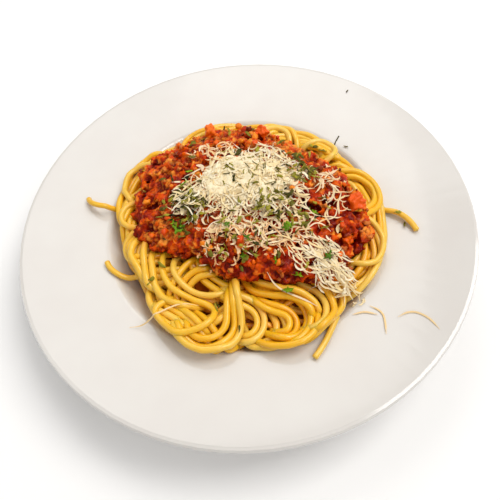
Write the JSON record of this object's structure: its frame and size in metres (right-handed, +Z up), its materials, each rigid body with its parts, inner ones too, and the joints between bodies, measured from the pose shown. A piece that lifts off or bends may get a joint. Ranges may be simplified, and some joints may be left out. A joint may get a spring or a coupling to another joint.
{
  "type": "spaghetti bolognese on a plate",
  "caption": "Round white wide-rimmed pasta plate, its well heaped with spaghetti under chunky meat sauce, grated hard cheese and chopped herbs.",
  "frame": {"origin": "middle of the plate's footprint on the table, on the plate's axis", "axes": "+Z up along the plate's axis; the front of the dish, where the bare spaghetti shows, faces -Y; +X is to the right"},
  "size_m": [0.25, 0.25, 0.0654],
  "materials": {
    "white_china": "glossy glaze",
    "spaghetti": "moist boiled pasta with a soft shine",
    "meat_sauce": "wet oily minced meat and tomato",
    "grated_cheese": "matt shreds of hard cheese",
    "diced_vegetable": "moist cooked carrot and tomato"
  },
  "bodies": {
    "root": {"plate": "white_china", "spaghetti_nest": "spaghetti", "meat_sauce": "meat_sauce", "grated_cheese": "grated_cheese", "cheese_drift": "grated_cheese", "carrot_dice_left": "diced_vegetable", "carrot_dice_back": "diced_vegetable", "tomato_piece": "diced_vegetable", "strand_left": "spaghetti", "strand_lower_left": "spaghetti", "strand_right": "spaghetti", "strand_front": "spaghetti"}
  },
  "joints": []
}
